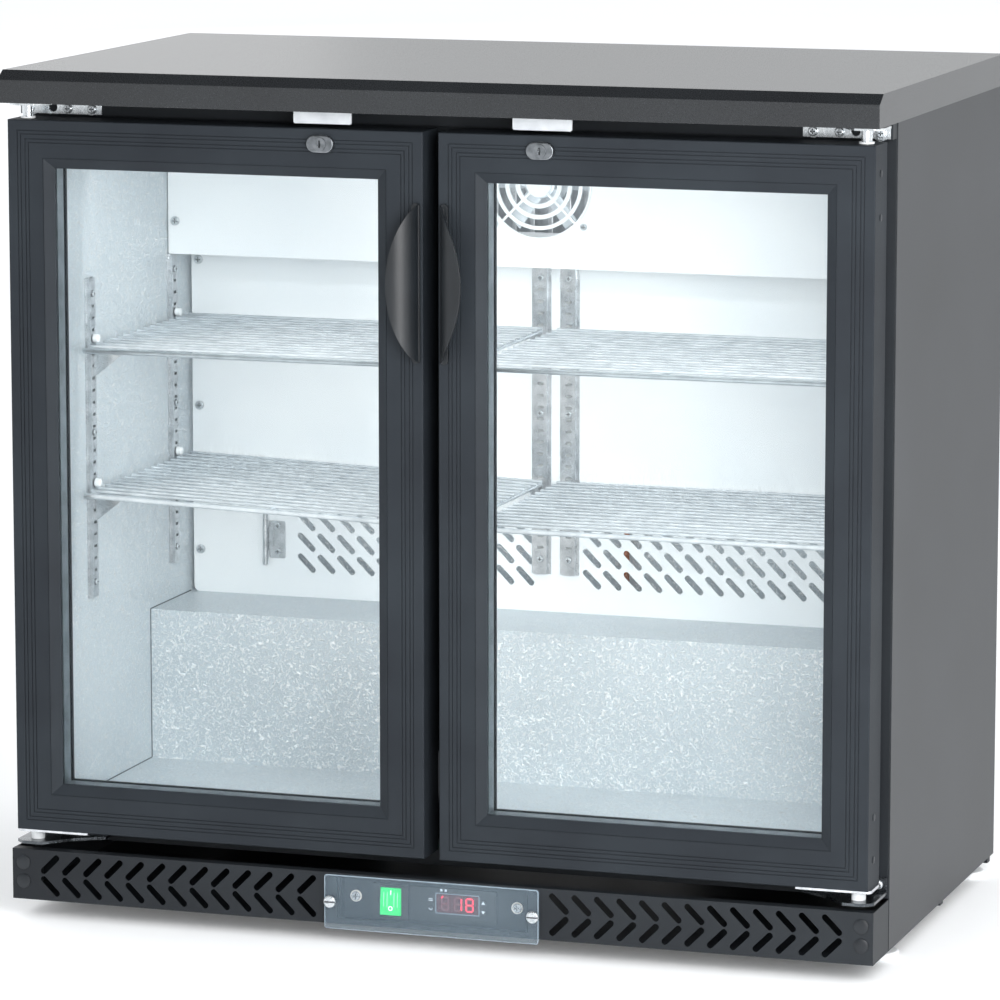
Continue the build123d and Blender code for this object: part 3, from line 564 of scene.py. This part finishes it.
def door_plugs():
    """Small plugs that close the screw holes in each door's outer edge."""
    for side, label in SIDES:
        build = bmesh.new()
        for height in PLUG_HEIGHTS:
            place = facing(DOOR_EDGE_X * side, PLUG_DEPTH, height, (side, 0, 0))
            add_lathe(build, PLUG_HEAD, place, 24)
        piece(f"door_plugs_{label}", build, "cap_plastic", f"door_{label}")


CLIP_X = 406
CLIP_DEPTHS = (135.5, 361)
CLIP_HEIGHTS = {-1: (401.9, 550.7), 1: (389.5, 550.7)}  # on the left wall, on the right wall
KNOB_RISE = 9
KNOB_HEAD = disc_profile(4.4 * MM, 6.5 * MM, 1.5 * MM)


def clip_knobs():
    """White retaining knobs on the side shelf clips."""
    build = bmesh.new()
    for side, heights in CLIP_HEIGHTS.items():
        for height in heights:
            for depth in CLIP_DEPTHS:
                place = facing(CLIP_X * side, depth, height + KNOB_RISE, (-side, 0, 0))
                add_lathe(build, KNOB_HEAD, place, 24)
    piece("clip_knobs", build, "white_plastic", "cabinet")


WALL_X = 412
STEP_FRONT = 295
STEP_TOP = 251
FLOOR_TOP = 91
SEAM = 0.9
SEAM_SETBACK = 2


def liner_seams():
    """Lines of sealer where the liner's sheets meet at the side walls and under the step, coloured dark grey
    as painted shade in those inside corners.
    """
    size = SEAM * MM
    step_front = at(0, STEP_FRONT, 0).y
    step_top = at(0, 0, STEP_TOP).z
    floor_top = at(0, 0, FLOOR_TOP).z
    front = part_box("inner_liner")[0].y + SEAM_SETBACK * MM
    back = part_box("duct_panel")[0].y
    build = bmesh.new()
    for side in (-1, 1):
        wall = side * WALL_X * MM
        for start, end in (
            ((front, floor_top), (step_front, floor_top)),
            ((step_front, floor_top), (step_front, step_top)),
            ((step_front, step_top), (back, step_top)),
        ):
            upright = start[0] == end[0]
            corner = Vector((wall, start[0], start[1]))
            along = Vector((0, end[0] - start[0], end[1] - start[1]))
            inward = Vector((-side * size, 0, 0))
            across = Vector((0, -size, 0)) if upright else Vector((0, 0, size))
            ends = []
            for base in (corner, corner + along):
                ends.append([build.verts.new(base + step) for step in (inward * 0, inward, across)])
            build.faces.new(ends[0])
            build.faces.new(ends[1][::-1])
            for i in range(3):
                j = (i + 1) % 3
                build.faces.new([ends[0][j], ends[0][i], ends[1][i], ends[1][j]])
    bmesh.ops.recalc_face_normals(build, faces=build.faces)
    piece("liner_seams", build, "sealer_and_shade", "cabinet")


BRACKET_SCREW_X = 84.5
BRACKET_SCREW_H = 26.5
BRACKET_FACE = 24
WASHER = [
    (4.9 * MM, 0), (6.0 * MM, 0), (5.9 * MM, 0.9 * MM), (5.4 * MM, 1.5 * MM), (4.9 * MM, 1.2 * MM),
    (4.9 * MM, 0),
]


def bracket_washers():
    """Cupped washers under the two screws of the control bracket."""
    build = bmesh.new()
    for side in (-1, 1):
        place = facing(BRACKET_SCREW_X * side, BRACKET_FACE, BRACKET_SCREW_H, FRONT)
        add_tube(build, WASHER, place)
    piece("bracket_washers", build, "washer", "cabinet")


# place of each bar of a digit, in half widths and heights from its middle, and its turn
SEGMENTS = {
    "top": (0, 1, 0),
    "middle": (0, 0, 0),
    "bottom": (0, -1, 0),
    "upper_left": (-1, 0.5, 90),
    "upper_right": (1, 0.5, 90),
    "lower_left": (-1, -0.5, 90),
    "lower_right": (1, -0.5, 90),
}
LIT_BARS = {"": [], "1": ["upper_right", "lower_right"], "8": list(SEGMENTS)}
DIGIT_PLACES = ((10.0, ""), (23.6, "1"), (35.6, "8"))
DIGIT_HALF_WIDTH = 3.5
DIGIT_HALF_HEIGHT = 6.4
BAR_WIDTH = 1.5
BAR_SHARE = 0.92  # of the room between the bar's neighbours

CONTROL_FACE = 22.0
WINDOW_LEFT, WINDOW_RIGHT = 0.8, 44.9
WINDOW_HALF_HEIGHT = 9.5
WINDOW_THICK = 0.6
WINDOW_FACE = CONTROL_FACE - WINDOW_THICK
RIM_WALL = 1.1
DISPLAY_H = 26.0
MARK_RISE = 0.15


def segment_outline(length, width):
    """Bar with pointed ends, lying along x."""
    half = length / 2
    point = width / 2
    return [
        (-half, 0), (-half + point, -point), (half - point, -point),
        (half, 0), (half - point, point), (-half + point, point),
    ]


def display_digits():
    """Three seven-segment digits on the window, the last two lit as 18, and a lit dash above."""
    wide = DIGIT_HALF_WIDTH * MM
    tall = DIGIT_HALF_HEIGHT * MM
    width = BAR_WIDTH * MM
    lit = bmesh.new()
    dark = bmesh.new()
    for x, shown in DIGIT_PLACES:
        middle = Matrix.Translation(at(x, WINDOW_FACE, DISPLAY_H))
        for name, (across, up, turn) in SEGMENTS.items():
            place = middle @ Matrix.Translation((across * wide, 0, up * tall))
            place = place @ Matrix.Rotation(math.radians(turn), 4, "Y")
            length = (tall if turn else 2 * wide) * BAR_SHARE
            on = name in LIT_BARS[shown]
            front = -0.25 * MM if on else -0.12 * MM
            add_prism(lit if on else dark, segment_outline(length, width), 0, front, place)
    led = Matrix.Translation(at(7.0, WINDOW_FACE, DISPLAY_H + DIGIT_HALF_HEIGHT))
    led = led @ Matrix.Rotation(math.radians(-50), 4, "Y")
    add_prism(lit, segment_outline(3.4 * MM, width), 0, -0.25 * MM, led)
    piece("display_digits_lit", lit, "lit_segment", "cabinet")
    piece("display_digits_dark", dark, "dark_segment", "cabinet")


def display_window():
    """Lens of the display and the raised rim round it."""
    low, high = DISPLAY_H - WINDOW_HALF_HEIGHT, DISPLAY_H + WINDOW_HALF_HEIGHT
    left, right, wall = WINDOW_LEFT, WINDOW_RIGHT, RIM_WALL
    face = Matrix.Translation(at(0, CONTROL_FACE, 0))
    build = bmesh.new()
    add_prism(build, box_outline(left, right, low, high), 0, -WINDOW_THICK * MM, face)
    piece("display_window", build, "display_lens", "cabinet", bevel=0.2 * MM)
    rim = bmesh.new()
    for bar in (
        (left - wall, right + wall, high, high + wall),
        (left - wall, right + wall, low - wall, low),
        (left - wall, left, low, high),
        (right, right + wall, low, high),
    ):
        add_prism(rim, box_outline(*bar), 0, -0.9 * MM, face)
    piece("display_rim", rim, "rim_grey", "cabinet", bevel=0.25 * MM)


def triangle(size, up):
    """Outline of an arrow head, with its point at the top when up is 1 and below when it is -1."""
    return [(-size, -size * up * 0.6), (size, -size * up * 0.6), (0, size * up)]


def control_marks():
    """Generic marks: two lamps above the window, dashes and a dotted curl on the left keys, arrows right."""
    build = bmesh.new()
    for x in (6.0, 10.6):
        place = Matrix.Translation(at(x, CONTROL_FACE, DISPLAY_H + 13.2))
        add_prism(build, box_outline(-1.1, 1.1, -1.2, 1.2), 0, -0.3 * MM, place)
    piece("lamp_marks", build, "mark_white", "cabinet", bevel=0.1 * MM)
    key_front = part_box("button_set")[0].y
    for name in ("set", "defrost", "up", "down"):
        low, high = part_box(f"button_{name}")
        middle = Matrix.Translation(Vector(((low.x + high.x) / 2, key_front, (low.z + high.z) / 2)))
        build = bmesh.new()
        if name in ("up", "down"):
            outline = triangle(2.0 * MM, 1 if name == "up" else -1)
            if name == "down":
                outline.reverse()
            add_prism(build, outline, 0, -MARK_RISE * MM, middle)
        elif name == "set":
            for bar in ((-2.2, 2.2, 0.5, 1.1), (-2.2, 2.2, -1.1, -0.5)):
                add_prism(build, box_outline(*bar), 0, -MARK_RISE * MM, middle)
        else:
            for i in range(5):
                turn = math.radians(200 + 35 * i)
                spot = middle @ Matrix.Translation(
                    (1.7 * MM * math.cos(turn), 0, 1.7 * MM * math.sin(turn) + 0.6 * MM)
                )
                add_prism(build, circle_points(0.42 * MM, 10), 0, -MARK_RISE * MM, spot)
        piece(f"mark_{name}", build, "mark_white", f"button_{name}")


ROCKER_SLOPE = math.atan2(0.8, 13.6)
RIDGES_X = (-7.2, -3.6, 3.6, 7.2)
RING_SIDES = 20


def rocker_marks():
    """Ridges on the rocker's lower half, a ring at their foot and a line on the upper half."""
    low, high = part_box("rocker")
    middle_x = (low.x + high.x) / 2 / MM
    face = Matrix.Translation(at(middle_x, 21.45, 16.7)) @ Matrix.Rotation(-ROCKER_SLOPE, 4, "X")
    ridges = bmesh.new()
    for x in RIDGES_X:
        add_prism(ridges, box_outline(x - 0.35, x + 0.35, 1.2, 16.0), 0.6 * MM, -0.35 * MM, face)
    piece("rocker_ridges", ridges, "pale_green", "rocker", bevel=0.2 * MM)
    marks = bmesh.new()
    ring = circle_points(2.3 * MM, RING_SIDES)
    inner = circle_points(1.55 * MM, RING_SIDES)
    for i in range(RING_SIDES):
        j = (i + 1) % RING_SIDES
        add_prism(marks, [ring[i], ring[j], inner[j], inner[i]][::-1], 0.3 * MM, -0.3 * MM, face)
    upper = Matrix.Translation(at(middle_x, 22.6, 32.5)) @ Matrix.Rotation(-2 * ROCKER_SLOPE, 4, "X")
    add_prism(marks, box_outline(-0.4, 0.4, -2.2, 2.2), 0.6 * MM, -0.3 * MM, upper)
    piece("rocker_marks", marks, "lit_white", "rocker")


def rounded_outline(half_x, half_z, radius):
    """Rectangle with quarter-round corners, round the origin."""
    points = []
    for corner_x, corner_z, start in ((1, 1, 0), (-1, 1, 90), (-1, -1, 180), (1, -1, 270)):
        for step in range(5):
            turn = math.radians(start + 22.5 * step)
            x = corner_x * (half_x - radius) + radius * math.cos(turn)
            z = corner_z * (half_z - radius) + radius * math.sin(turn)
            points.append((x, z))
    return points


COVER_CORNER = 3
COVER_CHAMFER = 0.8


def cover_edge():
    """Polished chamfer round the clear cover."""
    low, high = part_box("clear_cover")
    middle = Matrix.Translation(Vector(((low.x + high.x) / 2, low.y, (low.z + high.z) / 2)))
    half_x = (high.x - low.x) / 2
    half_z = (high.z - low.z) / 2
    chamfer = COVER_CHAMFER * MM
    outer = rounded_outline(half_x, half_z, COVER_CORNER * MM)
    inner_corner = (COVER_CORNER - COVER_CHAMFER) * MM
    inner = rounded_outline(half_x - chamfer, half_z - chamfer, inner_corner)
    build = bmesh.new()
    rings = []
    for points, y in ((outer, 0.6), (outer, 0.0), (inner, -0.35), (inner, 0.6)):
        rings.append([build.verts.new(middle @ Vector((x, y * MM, z))) for x, z in points])
    count = len(outer)
    for near, far in zip(rings, rings[1:] + rings[:1]):
        for i in range(count):
            j = (i + 1) % count
            build.faces.new([near[i], near[j], far[j], far[i]])
    bmesh.ops.recalc_face_normals(build, faces=build.faces)
    piece("cover_edge", build, "cover_edge", "cabinet")


# ---------------------------------------------------------------- stage
def surround():
    """White all round, but dim overhead and in front as seen in shiny surfaces."""
    world = bpy.data.worlds.new("surround")
    world.use_nodes = True
    tree = world.node_tree
    background = tree.nodes["Background"]
    background.inputs["Color"].default_value = (0.97, 0.985, 1.0, 1)
    split = tree.nodes.new("ShaderNodeSeparateXYZ")
    tree.links.new(tree.nodes.new("ShaderNodeTexCoord").outputs["Generated"], split.inputs["Vector"])
    overhead = remap(tree, split.outputs["Z"], 0, 1, 0.45, 0.8)
    ahead = remap(tree, split.outputs["Y"], 0.75, 0, -0.75, -0.1)
    dim = math_node(tree, "MAXIMUM", overhead, ahead)
    in_mirror = tree.nodes.new("ShaderNodeLightPath").outputs["Is Glossy Ray"]
    mirrored = math_node(tree, "MULTIPLY", dim, in_mirror)
    tree.links.new(remap(tree, mirrored, 1.05, 0.08, 0, 1), background.inputs["Strength"])
    bpy.context.scene.world = world


# name, place, where it points, width, height, watts, seen in reflections
LAMPS = (
    ("key", (-1.6, -4.2, 3.0), (0, 0, 0.45), 2.2, 2.2, 40, False),
    ("side", (3.6, -1.0, 2.2), (0, 0, 0.45), 2.0, 2.0, 12, False),
    ("near_right", (1.35, -1.9, 1.0), (0.3, -0.2, 0.4), 1.2, 1.2, 50, True),
    ("rear_left", (-7.0, 9.0, 2.2), (0, 0, 0.8), 7.0, 4.0, 34, True),
    ("inside", (0, LIP_Y + 0.098, 0.46), (0, 1, 0.34), 0.8, 0.64, 1.55, True),
    ("behind_duct", (0, LIP_Y + 0.4155, 0.56), (0, 1, 0.56), 0.78, 0.42, 0.8, True),
    ("fan_box", (0, LIP_Y + 0.357, 0.729), (0, 1, 0.729), 0.13, 0.13, 0.06, True),
)


FLOOR_HALF = 30


def studio():
    """Pale floor, white surroundings, soft lamps outside and lamps that fill the cabinet."""
    mesh = bpy.data.meshes.new("floor")
    build = bmesh.new()
    bmesh.ops.create_grid(build, x_segments=1, y_segments=1, size=FLOOR_HALF)
    build.to_mesh(mesh)
    build.free()
    floor = bpy.data.objects.new("floor", mesh)
    bpy.context.scene.collection.objects.link(floor)
    mesh.materials.append(
        finish_of(
            "floor_paint", dark=rgb(244, 245, 246), light=rgb(248, 249, 250), rough=(0.6, 0.7),
            patch=0.8, grain=30.0, depth=0.0001, emission_color=(1, 1, 1, 1), emission_strength=0.1,
        )
    )
    surround()
    for name, place, target, width, height, power, mirrored in LAMPS:
        light = bpy.data.lights.new(name, "AREA")
        light.shape = "RECTANGLE"
        light.size = width
        light.size_y = height
        light.energy = power
        lamp = bpy.data.objects.new(name, light)
        bpy.context.scene.collection.objects.link(lamp)
        lamp.location = place
        aim = Vector(target) - Vector(place)
        lamp.rotation_euler = aim.to_track_quat("-Z", "Y").to_euler()
        lamp.visible_camera = False
        lamp.visible_glossy = mirrored


CAMERA_PLACE = (1.698, -5.168, 1.302)
CAMERA_PITCH = -9.26
CAMERA_YAW = 18.28
CAMERA_LENS = 194.3


def camera():
    """Long lens from the front right, looking a little down."""
    view = bpy.data.cameras.new("camera")
    view.lens = CAMERA_LENS
    view.sensor_width = 36.0
    eye = bpy.data.objects.new("camera", view)
    bpy.context.scene.collection.objects.link(eye)
    eye.location = CAMERA_PLACE
    eye.rotation_euler = (math.radians(90 + CAMERA_PITCH), 0, math.radians(CAMERA_YAW))
    bpy.context.scene.camera = eye


dress_nodes()
kick_caps()
door_plugs()
clip_knobs()
liner_seams()
bracket_washers()
display_window()
display_digits()
control_marks()
rocker_marks()
cover_edge()
studio()
camera()
bpy.context.scene.view_settings.view_transform = "Standard"
